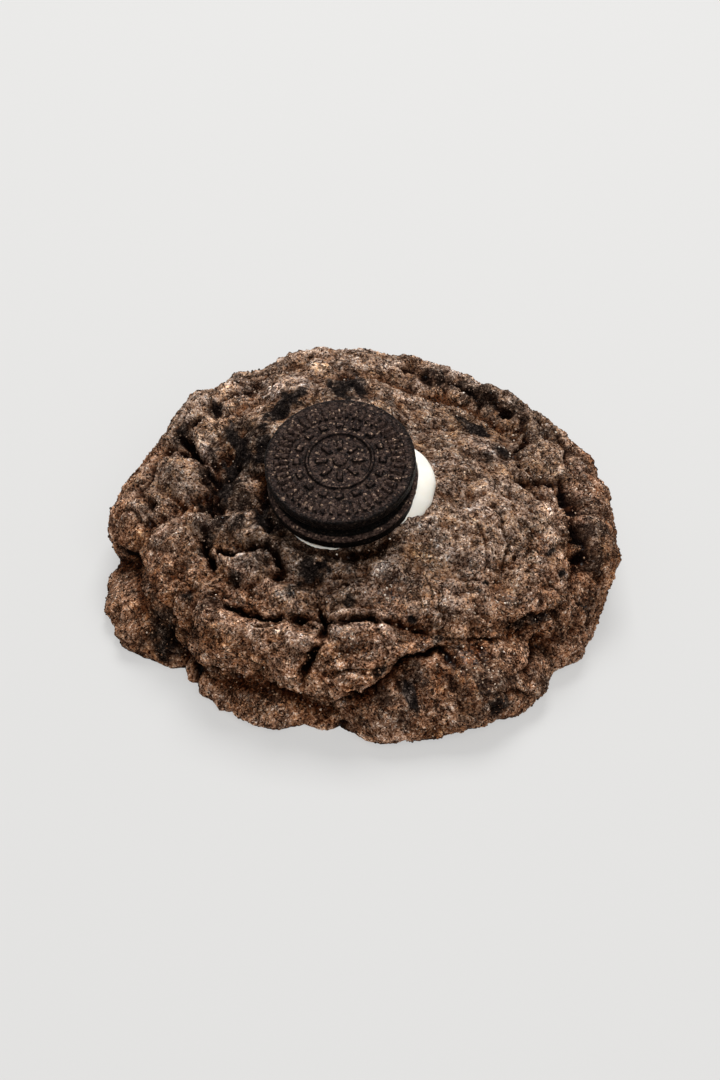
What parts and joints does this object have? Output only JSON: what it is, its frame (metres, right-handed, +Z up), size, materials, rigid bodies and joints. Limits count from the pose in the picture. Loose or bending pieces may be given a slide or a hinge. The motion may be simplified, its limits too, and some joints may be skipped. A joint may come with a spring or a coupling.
{
  "type": "chocolate cookie topped with a small sandwich biscuit",
  "caption": "Thick soft-baked chocolate cookie, cracked and lumpy, with a small chocolate sandwich biscuit lying tilted on a dab of white cream on its top; flat underneath.",
  "frame": {"origin": "on the table, under the middle of the cookie's box", "axes": "+Z up, -Y towards the cookie's front, where the biscuit's face leans down, +X to its right"},
  "size_m": [0.0992, 0.0964, 0.04],
  "materials": {
    "dough": "rough baked chocolate dough, dark brown with tan crumbs and near-black patches",
    "wafer": "matte near-black cocoa wafer with fine grain",
    "cream": "smooth warm white cream"
  },
  "bodies": {
    "root": {"cookie_body": "dough", "wafer_top": "wafer", "cream_filling": "cream", "wafer_bottom": "wafer", "cream_dollop": "cream"}
  },
  "joints": []
}
